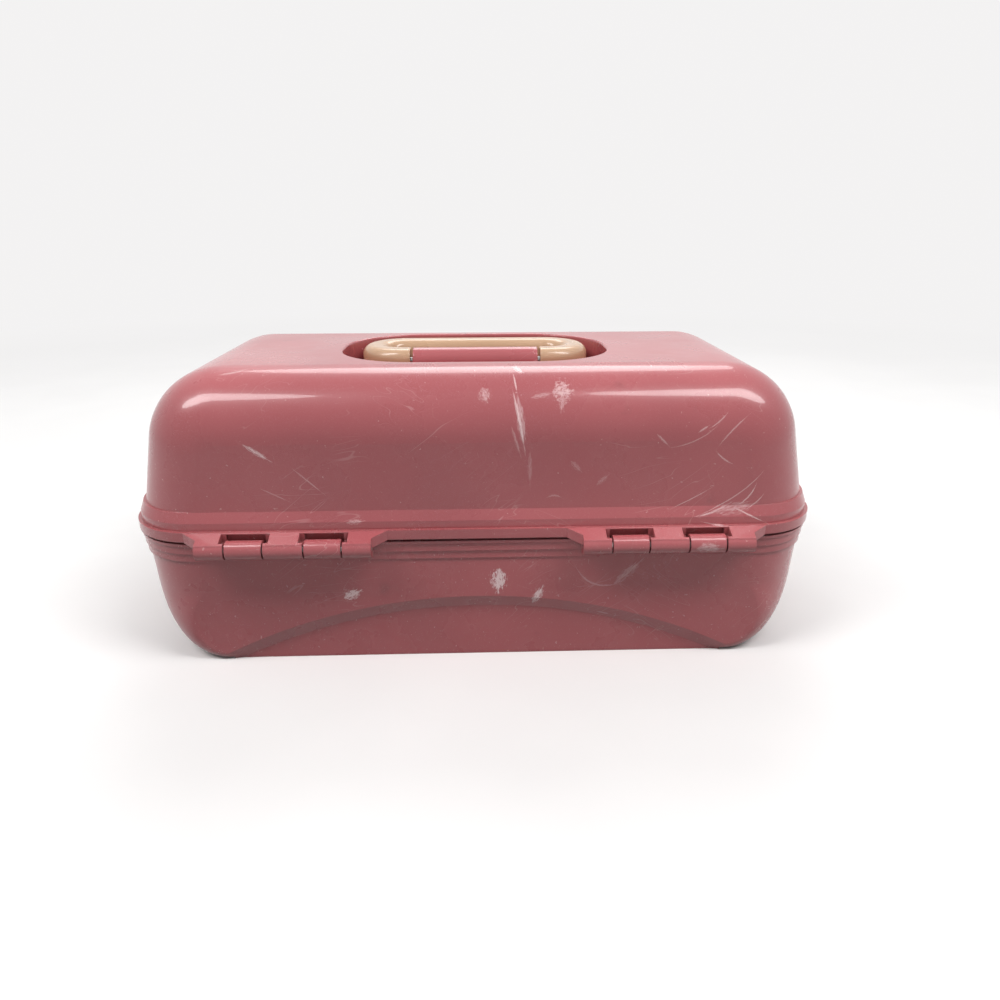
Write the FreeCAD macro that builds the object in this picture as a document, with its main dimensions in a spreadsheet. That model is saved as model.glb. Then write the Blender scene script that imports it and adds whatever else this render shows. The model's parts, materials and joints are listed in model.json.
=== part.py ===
import FreeCAD, Part
import math
import os
import re

import Sketcher

# A hinged storage case with a fold-down carrying handle, in millimetres.
# X runs along the hinge, -Y is the hinge side, +Y the latch side, +Z is up.
# The origin is under the middle of the case, on the surface that it stands on.

SIZES = (
    ("case_wide", 372.0, "over the rim, end to end"),
    ("case_deep", 185.0, "over the rim, hinge side to latch side"),
    ("case_tall", 157.0, "standing height with the handle folded"),
    ("seam_height", 72.6, "where the lid meets the base"),
    ("shell_wall", 2.5, "moulded wall of the lid and the base"),
    ("rim_corner", 38.0, "plan radius of the rim"),
    # lid
    ("lid_inset", 4.0, "long walls of the lid behind the face of the rim"),
    ("lid_end_inset", 2.4, "its end walls at the seam, behind the same face"),
    ("lid_lean", 9.5, "how far each end of the lid leans in"),
    ("lid_end_round", 42.0, "large radius from each end to the top"),
    ("lid_edge_round", 34.0, "radius of the front and rear edges"),
    ("lip_tall", 5.3, "lowest band of the lid rim"),
    ("collar_tall", 4.2, "band above it"),
    ("collar_inset", 1.9, "collar face behind the lip face"),
    ("flare_tall", 5.5, "slope from the collar up into the lid wall"),
    ("flare_angle", 21.0, "degrees that the slope leans from upright"),
    # base
    ("base_inset", 3.0, "base wall behind the face of the rim"),
    ("base_lean", 2.0, "how far each end of the base leans in"),
    ("base_end_round", 43.0, "radius from each end to the bottom"),
    ("base_foot_round", 5.0, "radius of its bottom edges"),
    ("slot_tall", 1.6, "shadow gap at the seam"),
    ("top_band_inset", 1.0, "first band of the base rim"),
    ("top_band_tall", 1.6, "its height"),
    ("mid_band_inset", 1.7, "second band"),
    ("mid_band_tall", 4.5, "its height"),
    ("low_band_inset", 2.4, "third band"),
    ("low_band_tall", 4.5, "its height"),
    ("tongue_tall", 2.0, "locating tongue above the seam"),
    ("tongue_thick", 1.5, "its thickness"),
    ("tongue_gap", 0.35, "its clearance to the lid"),
    ("arch_rise", 30.4, "height of the sunken arch panel"),
    ("arch_end", 55.0, "foot of the arch to the end of the case"),
    ("arch_step", 3.0, "how far the panel is sunk"),
    ("arch_slope", 7.0, "width of the sloping step around it"),
    ("arch_backing", 1.5, "wall behind the arch step"),
    # hinge
    ("hinge_out", 4.7, "hinge axis outside the rim face"),
    ("hinge_drop", 2.5, "hinge axis below the seam"),
    ("barrel_radius", 5.0, "knuckle radius"),
    ("hinge_end", 87.0, "middle of each hinge to the end of the case"),
    ("end_knuckle", 15.0, "outer lid knuckles"),
    ("base_knuckle", 19.3, "base knuckles"),
    ("mid_knuckle", 20.7, "middle lid knuckle"),
    ("knuckle_gap", 0.8, "between neighbouring knuckles"),
    ("web_rise", 1.5, "top of the base knuckle's web above the axis"),
    ("web_drop", 4.0, "its underside below the axis"),
    ("leaf_drop", 0.2, "leaf root below the top of the lip"),
    ("leaf_flare", 7.5, "how much wider the leaf is at its root"),
    ("leaf_brow_out", 3.5, "crisp front edge of the leaf, outside the axis"),
    ("leaf_brow_up", 4.1, "the same edge above the axis"),
    ("leaf_chin_out", 4.5, "lower front edge of the leaf, outside the axis"),
    ("leaf_chin_up", 1.5, "the same edge above the axis"),
    ("notch_depth", 1.2, "notch into the lip behind a base knuckle"),
    ("notch_roof", 1.0, "lip left above that notch"),
    ("pocket_wide", 2.8, "small pocket at each side of a notch"),
    ("pocket_out", 2.25, "front of that pocket, outside the axis"),
    ("pocket_up", 2.75, "floor of that pocket, above the axis"),
    ("hinge_pin_radius", 1.5, "hinge pin"),
    ("run_fit", 0.08, "radial clearance of a turning fit"),
    ("tight_fit", 0.02, "radial clearance of a fixed fit"),
    # handle
    ("recess_wide", 154.0, "handle recess along the case"),
    ("recess_depth", 99.0, "handle recess across the case"),
    ("recess_corner", 44.0, "its plan radius"),
    ("recess_sunk", 20.0, "its floor below the top of the lid"),
    ("recess_floor_round", 3.0, "radius around its floor"),
    ("recess_rim_round", 1.2, "radius around its rim"),
    ("handle_side_gap", 8.0, "handle to the end of its recess"),
    ("handle_front_gap", 5.0, "far side of the grip to the recess wall"),
    ("handle_stub", 4.35, "straight end of the handle next to the hub"),
    ("handle_sink", 8.2, "pivot axis below the top of the lid"),
    ("grip_thick", 16.0, "handle section seen from above"),
    ("grip_tall", 15.0, "handle section height"),
    ("grip_round", 6.0, "corner radius of that section"),
    ("hub_radius", 7.7, "its radius"),
    ("hub_gap", 1.4, "hub to handle, at each end"),
    ("hub_round", 0.8, "radius on the hub ends"),
    ("handle_pin_radius", 2.0, "handle pin"),
    ("handle_pin_grip", 11.0, "how far the pin enters the handle"),
    # latches
    ("latch_end", 86.0, "middle of each latch to the end of the case"),
    ("latch_wide", 42.0, "latch along the case"),
    ("latch_out", 4.6, "latch axis outside the rim face"),
    ("latch_rise", 2.6, "latch axis above the seam"),
    ("latch_barrel", 3.6, "radius of the rolled top of the latch"),
    ("latch_plate", 3.0, "latch plate thickness"),
    ("latch_drop", 17.0, "latch plate below the seam"),
    ("latch_lip_tall", 4.0, "finger lip at its bottom"),
    ("latch_lip_thick", 2.4, "the lip across its lower edge"),
    ("latch_lip_edge", 0.9, "height of that edge"),
    ("latch_face_gap", 0.9, "latch plate outside the rim face"),
    ("latch_round", 5.0, "radius of the lower latch corners"),
    ("latch_pin_radius", 1.25, "latch pin"),
    ("lug_thick", 5.0, "lug at each end of a latch"),
    ("lug_radius", 4.2, "its radius"),
    ("lug_under", 1.9, "underside of the lug's root below the axis"),
    ("lug_crown_up", 2.6, "shoulder of the lug above the axis"),
    ("lug_crown_out", 3.3, "the same shoulder outside the axis"),
    ("lug_gap", 0.4, "lug to latch"),
    ("catch_wide", 30.0, "catch rib on the base"),
    ("catch_below", 5.6, "top of the catch below the seam"),
    ("catch_tall", 3.2, "its height"),
    ("catch_gap", 0.35, "latch nib to catch"),
    # mirror
    ("mirror_wide", 220.0, "mirror frame along the case"),
    ("mirror_deep", 120.0, "mirror frame across the case"),
    ("mirror_corner", 12.0, "its plan radius"),
    ("mirror_border", 13.0, "frame around the glass"),
    ("mirror_lap", 3.0, "frame under the edge of the glass"),
    ("frame_thick", 4.0, "mirror frame thickness"),
    ("glass_thick", 2.0, "mirror glass"),
    ("glass_gap", 0.3, "around the glass"),
    ("frame_round", 0.6, "rounded lower edges of the frame"),
    ("lining_gap", 0.3, "mirror frame below the handle recess"),
    ("screw_radius", 1.5, "screw shank"),
    ("screw_head_radius", 3.2, "screw head"),
    ("screw_head_tall", 1.6, "its height"),
    ("screw_bite", 8.0, "screw length in its boss"),
    ("screw_boss_radius", 4.0, "boss under the lid top"),
    # trays and their arms
    ("arm_reach", 60.0, "between the end pivots of a long arm"),
    ("arm_thick", 2.5, "arm thickness"),
    ("arm_half_wide", 5.5, "arm end radius"),
    ("arm_wall_gap", 7.1, "arm to the inner wall of the base"),
    ("boss_gap", 0.3, "between faces that slide past each other"),
    ("pivot_boss_radius", 5.0, "bosses that carry the arms and tray"),
    ("pivot_lift", 1.2, "tray boss above the tongue"),
    ("pivot_radius", 2.0, "rivet shank"),
    ("pivot_head_radius", 3.6, "rivet head"),
    ("pivot_head_tall", 1.4, "its height"),
    ("ear_thick", 2.0, "ear of the lower tray"),
    ("ear_half_wide", 6.0, "its end radius"),
    ("ear_side_gap", 0.5, "ear to the side of the upper tray"),
    ("long_foot_ahead", 55.0, "long arm foot ahead of the hinge axis"),
    ("long_foot_drop", 10.0, "long arm foot below the hinge axis"),
    ("short_foot_ahead", 115.0, "short arm foot ahead of the hinge axis"),
    ("short_foot_drop", 20.0, "short arm foot below the hinge axis"),
    ("tray_wall", 1.8, "tray walls and floor"),
    ("tray_corner", 16.0, "plan radius of the trays"),
    ("tray_gap", 2.25, "upper tray to the tongue of the base"),
    ("lower_tray_gap", 5.4, "lower tray to the wall behind the arch panel"),
    ("divider_thick", 1.6, "dividers that stand in the trays"),
    ("divider_drop", 2.0, "their top below the rim of the tray"),
    ("upper_back", 22.0, "upper tray behind edge, ahead of the hinge axis"),
    ("upper_tall", 26.0, "its height"),
    ("lower_back", 57.0, "lower tray behind edge, ahead of the hinge axis"),
    ("lower_floor", 33.0, "underside of the lower tray"),
    ("lower_tall", 27.0, "its height"),
    ("stack_gap", 2.0, "between the two trays"),
)

doc = FreeCAD.newDocument("storage_case")
sheet = doc.addObject("Spreadsheet::Sheet", "Sizes")
for row, (alias, number, note) in enumerate(SIZES, start=1):
    sheet.set(f"A{row}", note)
    sheet.set(f"B{row}", str(number))
    sheet.setAlias(f"B{row}", alias)
doc.recompute()

X_AXIS = FreeCAD.Vector(1, 0, 0)
Y_AXIS = FreeCAD.Vector(0, 1, 0)
SIZE_NAME = re.compile(r"(?<![.\w])([a-z]+(?:_[a-z]+)+)")
SIDES = (("left", -1), ("right", 1))
NEAR = 0.001


def linked(text):
    """Turn the size names in an expression into references to the sheet."""
    return SIZE_NAME.sub(r"Sizes.\1", str(text))


def value(text):
    """The present value of an expression in the sheet's sizes."""
    return float(sheet.evalExpression(linked(text)))


# ---- derived places, all from the sizes above ----
RIM_X = "(case_wide / 2)"
RIM_Y = "(case_deep / 2)"
LID_X = f"({RIM_X} - lid_end_inset)"
LID_Y = f"({RIM_Y} - lid_inset)"
LID_IN_X = f"({LID_X} - shell_wall)"
LID_IN_Y = f"({LID_Y} - shell_wall)"
COLLAR_X = f"({RIM_X} - collar_inset)"
COLLAR_Y = f"({RIM_Y} - collar_inset)"
COLLAR_TOP = "(seam_height + lip_tall + collar_tall)"
BASE_CORNER = "(rim_corner - base_inset)"
BASE_X = f"({RIM_X} - base_inset)"
BASE_Y = f"({RIM_Y} - base_inset)"
BASE_IN_X = f"({BASE_X} - shell_wall)"
BASE_IN_Y = f"({BASE_Y} - shell_wall)"
LEAN_LOW = "(lid_lean * (tongue_tall + shell_wall) / (case_tall - lid_end_round - seam_height))"
TONGUE_X = f"({LID_IN_X} - {LEAN_LOW} - tongue_gap - tongue_thick)"
TONGUE_Y = f"({LID_IN_Y} - tongue_gap - tongue_thick)"
TONGUE_CORNER = "(lid_edge_round - shell_wall - tongue_gap - tongue_thick)"
HINGE_Y = f"(-{RIM_Y} - hinge_out)"
HINGE_Z = "(seam_height - hinge_drop)"
REACH_Y = f"({RIM_Y} + hinge_out + barrel_radius)"
HINGE_LONG = "(2 * end_knuckle + 2 * base_knuckle + mid_knuckle)"
HINGE_X = f"({RIM_X} - hinge_end)"
LATCH_X = f"({RIM_X} - latch_end)"
AXIS_Z = "(case_tall - handle_sink)"
RECESS_Z = "(case_tall - recess_sunk)"
GRIP_Y = "(recess_depth / 2 - handle_front_gap - grip_thick / 2)"
GRIP_X = "(recess_wide / 2 - handle_side_gap - grip_thick / 2)"
BEND_X = f"({GRIP_X} - {GRIP_Y} / 2)"
HANDLE_END = f"({BEND_X} - handle_stub)"
HUB_X = f"({HANDLE_END} - hub_gap)"
LATCH_Y = f"({RIM_Y} + latch_out)"
LATCH_Z = "(seam_height + latch_rise)"
FRAME_TOP = f"({RECESS_Z} - shell_wall - lining_gap)"
FRAME_Z = f"({FRAME_TOP} - frame_thick)"
SCREW_X = "(mirror_wide / 2 - mirror_border / 2)"
SCREW_Y = "(mirror_deep / 2 - mirror_border / 2)"
PIVOT_RISE = "(hinge_drop + tongue_tall + pivot_boss_radius + pivot_lift)"
PIVOT_RUN = f"sqrt(arm_reach ^ 2 - {PIVOT_RISE} ^ 2)"
LID_PIVOT = (f"({HINGE_Y} + {PIVOT_RUN})", f"({HINGE_Z} + {PIVOT_RISE})")
LONG_FOOT = (f"({HINGE_Y} + long_foot_ahead)", f"({HINGE_Z} - long_foot_drop)")
LONG_MID = (f"({LONG_FOOT[0]} + {PIVOT_RUN} / 2)", f"({LONG_FOOT[1]} + {PIVOT_RISE} / 2)")
LONG_TIP = (f"({LONG_FOOT[0]} + {PIVOT_RUN})", f"({LONG_FOOT[1]} + {PIVOT_RISE})")
SHORT_FOOT = (f"({HINGE_Y} + short_foot_ahead)", f"({HINGE_Z} - short_foot_drop)")
SHORT_TIP = (f"({SHORT_FOOT[0]} + {PIVOT_RUN} / 2)", f"({SHORT_FOOT[1]} + {PIVOT_RISE} / 2)")
ARM_OUT = f"({BASE_IN_X} - arm_wall_gap)"
ARM_IN = f"({ARM_OUT} - arm_thick)"
EAR_OUT = f"({ARM_IN} - boss_gap)"
EAR_IN = f"({EAR_OUT} - ear_thick)"
TRAY_X = f"({EAR_IN} - ear_side_gap)"
TRAY_IN_X = f"({TRAY_X} - tray_wall)"
LOWER_TOP = "(lower_floor + lower_tall)"
UPPER_FLOOR = f"({LOWER_TOP} + stack_gap)"


# ---- short building steps ----
def new_body(name):
    body = doc.addObject("PartDesign::Body", name)
    body.Label = name
    return body


def sketch_on(body, name, role, offset="0"):
    """A sketch on one of the body's own origin planes, moved along its normal.

    XY_Plane faces +Z, XZ_Plane faces -Y and YZ_Plane faces +X.
    """
    sketch = body.newObject("Sketcher::SketchObject", name)
    planes = [item for item in body.Origin.OriginFeatures if item.Role == role]
    sketch.AttachmentSupport = [(planes[0], "")]
    sketch.MapMode = "FlatFace"
    sketch.setExpression("AttachmentOffset.Base.z", linked(offset))
    return sketch


def bind(sketch, kind, expression, *targets):
    index = sketch.addConstraint(Sketcher.Constraint(kind, *targets, value(expression)))
    sketch.setExpression(f"Constraints[{index}]", linked(expression))


def bind_point(sketch, geometry, position, across, up):
    bind(sketch, "DistanceX", across, -1, 1, geometry, position)
    bind(sketch, "DistanceY", up, -1, 1, geometry, position)


def polygon(sketch, points):
    """A closed outline of straight lines through (across, up) points."""
    places = [FreeCAD.Vector(value(across), value(up), 0) for across, up in points]
    first = sketch.GeometryCount
    count = len(points)
    for index, place in enumerate(places):
        sketch.addGeometry(Part.LineSegment(place, places[(index + 1) % count]))
    for index, (across, up) in enumerate(points):
        before = first + (index - 1) % count
        sketch.addConstraint(Sketcher.Constraint("Coincident", before, 2, first + index, 1))
        bind_point(sketch, first + index, 1, across, up)


def circle(sketch, across, up, radius):
    centre = FreeCAD.Vector(value(across), value(up), 0)
    index = sketch.addGeometry(Part.Circle(centre, FreeCAD.Vector(0, 0, 1), value(radius)))
    bind_point(sketch, index, 3, across, up)
    bind(sketch, "Radius", radius, index)


def arc(centre_x, centre_y, radius, start, end):
    """Arc geometry, counter-clockwise from start to end degrees."""
    whole = Part.Circle(FreeCAD.Vector(centre_x, centre_y, 0), FreeCAD.Vector(0, 0, 1), radius)
    return Part.ArcOfCircle(whole, math.radians(start), math.radians(end))


def rounded_box(sketch, wide, tall, corner, across="0", up="0"):
    """A rectangle with four equal round corners about (across, up)."""
    half_wide, half_tall, radius = value(wide) / 2, value(tall) / 2, value(corner)
    middle_x, middle_y = value(across), value(up)
    reach_x, reach_y = half_wide - radius, half_tall - radius
    turns = ((1, 1), (-1, 1), (-1, -1), (1, -1))
    first = sketch.GeometryCount
    for index, (turn_x, turn_y) in enumerate(turns):
        centre_x = middle_x + turn_x * reach_x
        centre_y = middle_y + turn_y * reach_y
        sketch.addGeometry(arc(centre_x, centre_y, radius, 90 * index, 90 * index + 90))
    for index in range(4):
        start = sketch.Geometry[first + index].EndPoint
        end = sketch.Geometry[first + (index + 1) % 4].StartPoint
        sketch.addGeometry(Part.LineSegment(start, end))
    for index, (turn_x, turn_y) in enumerate(turns):
        corner_arc = first + index
        side = first + 4 + index
        after = first + (index + 1) % 4
        sketch.addConstraint(Sketcher.Constraint("Tangent", corner_arc, 2, side, 1))
        sketch.addConstraint(Sketcher.Constraint("Tangent", side, 2, after, 1))
        bind(sketch, "Radius", corner, corner_arc)
        centre_across = f"{across} + {turn_x} * (({wide}) / 2 - ({corner}))"
        centre_up = f"{up} + {turn_y} * (({tall}) / 2 - ({corner}))"
        bind_point(sketch, corner_arc, 3, centre_across, centre_up)


def link_outline(sketch, start, end, radius):
    """A straight link with round ends about two pivot points."""
    (x1, y1), (x2, y2) = [(value(across), value(up)) for across, up in (start, end)]
    size = value(radius)
    lean = math.degrees(math.atan2(y2 - y1, x2 - x1))
    first = sketch.GeometryCount
    sketch.addGeometry(arc(x1, y1, size, lean + 90, lean + 270))
    sketch.addGeometry(arc(x2, y2, size, lean - 90, lean + 90))
    near, far = sketch.Geometry[first], sketch.Geometry[first + 1]
    sketch.addGeometry(Part.LineSegment(near.EndPoint, far.StartPoint))
    sketch.addGeometry(Part.LineSegment(far.EndPoint, near.StartPoint))
    corners = ((0, 2, 2, 1), (2, 2, 1, 1), (1, 2, 3, 1), (3, 2, 0, 1))
    for one, one_end, other, other_end in corners:
        ends = (first + one, one_end, first + other, other_end)
        sketch.addConstraint(Sketcher.Constraint("Tangent", *ends))
    for index, (across, up) in enumerate((start, end)):
        bind_point(sketch, first + index, 3, across, up)
        bind(sketch, "Radius", radius, first + index)


def end_profile(sketch, half_wide, wide_up, narrow_up, corner, lean):
    """The case seen along Y: one straight edge, leaning ends, two big round corners."""
    half, wide_z, narrow_z = value(half_wide), value(wide_up), value(narrow_up)
    radius, inward = value(corner), value(lean)
    sign = 1 if narrow_z > wide_z else -1
    centre_x, centre_z = half - inward - radius, narrow_z - sign * radius
    # where the leaning end touches the round corner, in degrees about its centre
    over_x, over_z = half - centre_x, wide_z - centre_z
    spread = math.acos(radius / math.hypot(over_x, over_z))
    touch = math.degrees(math.atan2(over_z, over_x) + sign * spread)
    side_x = centre_x + radius * math.cos(math.radians(touch))
    side_z = centre_z + radius * math.sin(math.radians(touch))
    if sign > 0:
        right, left = (touch, 90), (90, 180 - touch)
    else:
        right, left = (-90, touch), (180 - touch, 270)
    point = FreeCAD.Vector
    first = sketch.GeometryCount
    sketch.addGeometry(Part.LineSegment(point(-half, wide_z, 0), point(half, wide_z, 0)))
    sketch.addGeometry(Part.LineSegment(point(half, wide_z, 0), point(side_x, side_z, 0)))
    sketch.addGeometry(arc(centre_x, centre_z, radius, *right))
    sketch.addGeometry(Part.LineSegment(point(centre_x, narrow_z, 0), point(-centre_x, narrow_z, 0)))
    sketch.addGeometry(arc(-centre_x, centre_z, radius, *left))
    sketch.addGeometry(Part.LineSegment(point(-side_x, side_z, 0), point(-half, wide_z, 0)))
    outer, inner = (1, 2) if sign > 0 else (2, 1)
    joins = (
        ("Coincident", 0, 2, 1, 1),
        ("Tangent", 1, 2, 2, outer),
        ("Tangent", 2, inner, 3, 1),
        ("Tangent", 3, 2, 4, outer),
        ("Tangent", 4, inner, 5, 1),
        ("Coincident", 5, 2, 0, 1),
    )
    for kind, one, one_end, other, other_end in joins:
        ends = (first + one, one_end, first + other, other_end)
        sketch.addConstraint(Sketcher.Constraint(kind, *ends))
    bind_point(sketch, first, 1, f"-({half_wide})", wide_up)
    bind_point(sketch, first, 2, half_wide, wide_up)
    sketch.addConstraint(Sketcher.Constraint("Horizontal", first + 3))
    bind(sketch, "DistanceY", narrow_up, -1, 1, first + 3, 1)
    for index, turn in ((2, 1), (4, -1)):
        bind(sketch, "Radius", corner, first + index)
        reach = f"{turn} * (({half_wide}) - ({lean}) - ({corner}))"
        bind(sketch, "DistanceX", reach, -1, 1, first + index, 3)


def pad(body, sketch, length, middle=False, back=False):
    before = body.Shape.Volume if body.Tip else 0.0
    feature = body.newObject("PartDesign::Pad", f"{sketch.Name}_pad")
    feature.Profile = sketch
    feature.Refine = False
    feature.Midplane = middle
    feature.Reversed = back
    feature.setExpression("Length", linked(length))
    doc.recompute()
    if not feature.Shape.Volume > before:
        raise ValueError(f"{feature.Name} adds nothing")
    return feature


def pocket(body, sketch, length, middle=False, back=False):
    before = body.Shape.Volume
    feature = body.newObject("PartDesign::Pocket", f"{sketch.Name}_cut")
    feature.Profile = sketch
    feature.Refine = False
    feature.Midplane = middle
    feature.Reversed = back
    feature.setExpression("Length", linked(length))
    doc.recompute()
    if not 0 < feature.Shape.Volume < before:
        raise ValueError(f"{feature.Name} cuts nothing")
    return feature


def dress(body, kind, chosen, size):
    """Round or bevel the edges of the body's last feature that pass a test."""
    base = body.Tip
    names = [f"Edge{i}" for i, edge in enumerate(base.Shape.Edges, start=1) if chosen(edge)]
    if not names:
        raise ValueError(f"{body.Name} has no edge for its {kind}")
    feature = body.newObject(f"PartDesign::{kind}", f"{base.Name}_{kind.lower()}")
    feature.Base = (base, names)
    feature.setExpression("Radius" if kind == "Fillet" else "Size", linked(size))
    doc.recompute()
    if feature.Shape.isNull():
        raise ValueError(f"{feature.Name} failed: {feature.getStatusString()}")
    return feature


def on_plane(edge, axis, place):
    """Whether the whole edge lies in the plane axis = place."""
    box = edge.BoundBox
    low = getattr(box, f"{axis}Min")
    high = getattr(box, f"{axis}Max")
    return abs(low - place) < NEAR and abs(high - place) < NEAR


def rim_ring(body, name, inset, inner_x, inner_y, inner_corner, low, tall):
    """One band of the rim, between an outer and an inner rounded outline."""
    sketch = sketch_on(body, name, "XY_Plane", low)
    rounded_box(
        sketch, f"2 * ({RIM_X} - {inset})", f"2 * ({RIM_Y} - {inset})", f"rim_corner - {inset}"
    )
    rounded_box(sketch, f"2 * ({inner_x})", f"2 * ({inner_y})", inner_corner)
    return pad(body, sketch, tall)


def along_x(body, name, start):
    """A sketch across the case at X = start; its axes are Y and Z."""
    return sketch_on(body, name, "YZ_Plane", start)


def rod(name, side, inner, outer, place, radius):
    """A cylinder along X between two distances from the middle of the case."""
    piece = doc.addObject("Part::Cylinder", name)
    piece.Placement = FreeCAD.Placement(FreeCAD.Vector(), FreeCAD.Rotation(Y_AXIS, 90))
    start = inner if side > 0 else f"-({outer})"
    piece.setExpression("Radius", linked(radius))
    piece.setExpression("Height", linked(f"({outer}) - ({inner})"))
    piece.setExpression("Placement.Base.x", linked(start))
    piece.setExpression("Placement.Base.y", linked(place[0]))
    piece.setExpression("Placement.Base.z", linked(place[1]))
    return piece


def fused(name, members):
    piece = doc.addObject("Part::MultiFuse", name)
    piece.Shapes = members
    return piece


def group(name, members):
    piece = doc.addObject("Part::Compound", name)
    piece.Links = members
    piece.Label = name
    return piece


def rounded_block(name, profile, depth, upright, flat):
    """A solid end profile, with one rounding for its upright edges and one for its flat face."""
    block = new_body(f"{name}_block")
    sketch = sketch_on(block, f"{name}_outline", "XZ_Plane")
    end_profile(sketch, *profile)
    pad(block, sketch, depth, middle=True)
    open_z = value(profile[1])
    side_round, flat_round = value(upright), value(flat)
    radii = []
    for index, edge in enumerate(block.Shape.Edges, start=1):
        box = edge.BoundBox
        at_open = min(abs(box.ZMin - open_z), abs(box.ZMax - open_z)) < NEAR
        level = box.ZLength < NEAR
        if box.YLength > NEAR or (at_open and level):
            continue
        if level:
            radii.append((index, flat_round, flat_round))
        elif at_open:
            radii.append((index, side_round, side_round))
        elif box.XMin > 0:
            # the rounding runs from the right end to the left, so its start is the upright here
            radii.append((index, side_round, flat_round))
        else:
            radii.append((index, flat_round, side_round))
    rounded = doc.addObject("Part::Fillet", name)
    rounded.Base = block
    rounded.Edges = radii
    doc.recompute()
    centre = rounded.Shape.Solids[0].CenterOfMass
    if max(abs(centre.x), abs(centre.y)) > NEAR:
        raise ValueError(f"{name} is not rounded alike at both ends")
    return rounded


def hollow_body(name, outer, inner):
    """A body that starts as one rounded block with a smaller one taken out of it."""
    hollow = doc.addObject("Part::Cut", f"{name}_hollow")
    hollow.Base, hollow.Tool = outer, inner
    body = new_body(name)
    body.BaseFeature = hollow
    doc.recompute()
    return body


# ---- base ----
ARCH_HALF = f"({RIM_X} - arch_end)"
ARCH_RADIUS = f"(({ARCH_HALF} ^ 2 + arch_rise ^ 2) / (2 * arch_rise))"
ARCH_Z = f"(arch_rise - {ARCH_RADIUS})"
FLAT_X = f"({BASE_X} - base_lean - base_end_round - shell_wall)"


def arch_wall(body, name, front):
    """The wall behind a sunken arch panel, straight down to a sharp bottom edge."""
    start = f"{BASE_Y} - shell_wall / 2"
    sketch = sketch_on(body, name, "XZ_Plane", f"-({start})" if front else start)
    radius = f"{ARCH_RADIUS} + arch_slope + arch_backing"
    reach, size, centre = value(FLAT_X), value(radius), value(ARCH_Z)
    top = centre + math.sqrt(size ** 2 - reach ** 2)
    point = FreeCAD.Vector
    lean = math.degrees(math.acos(reach / size))
    sketch.addGeometry(Part.LineSegment(point(-reach, 0, 0), point(reach, 0, 0)))
    sketch.addGeometry(Part.LineSegment(point(reach, 0, 0), point(reach, top, 0)))
    sketch.addGeometry(arc(0, centre, size, lean, 180 - lean))
    sketch.addGeometry(Part.LineSegment(point(-reach, top, 0), point(-reach, 0, 0)))
    for ends in ((0, 2, 1, 1), (1, 2, 2, 1), (2, 2, 3, 1), (3, 2, 0, 1)):
        sketch.addConstraint(Sketcher.Constraint("Coincident", *ends))
    for index in (1, 3):
        sketch.addConstraint(Sketcher.Constraint("Vertical", index))
    bind_point(sketch, 0, 1, f"-{FLAT_X}", "0 * seam_height")
    bind_point(sketch, 0, 2, FLAT_X, "0 * seam_height")
    bind(sketch, "DistanceY", ARCH_Z, -1, 1, 2, 3)
    bind(sketch, "DistanceX", "0 * seam_height", -1, 1, 2, 3)
    bind(sketch, "Radius", radius, 2)
    pad(body, sketch, "arch_step + shell_wall / 2", back=not front)


def arch_panel(body, name, front):
    """Sink the panel below the arch, with a sloping step along the arch."""
    cone = body.newObject("PartDesign::SubtractiveCone", name)
    turn = -90 if front else 90
    cone.Placement = FreeCAD.Placement(FreeCAD.Vector(), FreeCAD.Rotation(X_AXIS, turn))
    face = f"({BASE_Y} - arch_step)"
    cone.setExpression("Placement.Base.y", linked(face if front else f"-{face}"))
    cone.setExpression("Placement.Base.z", linked(ARCH_Z))
    cone.setExpression("Radius1", linked(ARCH_RADIUS))
    cone.setExpression("Radius2", linked(f"{ARCH_RADIUS} + 2 * arch_slope"))
    cone.setExpression("Height", linked("2 * arch_step"))
    doc.recompute()


def base_rim(body):
    """Three stepped bands, the land that the lid rests on, and the tongue inside it."""
    inner = (f"{BASE_IN_X} + shell_wall / 2", f"{BASE_IN_Y} + shell_wall / 2", BASE_CORNER)
    bands = (
        ("low_band", "low_band_inset", "low_band_tall"),
        ("mid_band", "mid_band_inset", "mid_band_tall"),
        ("top_band", "top_band_inset", "top_band_tall"),
    )
    tall = "(slot_tall + top_band_tall + mid_band_tall + low_band_tall)"
    low = f"(seam_height - {tall})"
    for name, inset, band_tall in bands:
        rim_ring(body, name, inset, *inner, low, band_tall)
        low = f"({low} + {band_tall})"
    land_low = f"({low} - top_band_tall / 2)"
    land_tall = "slot_tall + top_band_tall / 2"
    tongue = (TONGUE_X, TONGUE_Y, TONGUE_CORNER)
    rim_ring(body, "land", "(base_inset + shell_wall / 2)", *tongue, land_low, land_tall)
    sketch = sketch_on(body, "tongue", "XY_Plane", "seam_height - slot_tall")
    outer = (f"2 * ({TONGUE_X} + tongue_thick)", f"2 * ({TONGUE_Y} + tongue_thick)")
    rounded_box(sketch, *outer, f"{TONGUE_CORNER} + tongue_thick")
    rounded_box(sketch, f"2 * {TONGUE_X}", f"2 * {TONGUE_Y}", TONGUE_CORNER)
    pad(body, sketch, "slot_tall + tongue_tall")


NOTCH_ROOF = "(seam_height + lip_tall - notch_roof)"


def hinge_spans(side):
    """Start and length of each knuckle of one hinge, from its left end."""
    start = f"({side} * {HINGE_X} - {HINGE_LONG} / 2)"
    lengths = ("end_knuckle", "base_knuckle", "mid_knuckle", "base_knuckle", "end_knuckle")
    spans = []
    for length in lengths:
        spans.append((start, length))
        start = f"({start} + {length})"
    return spans


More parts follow.
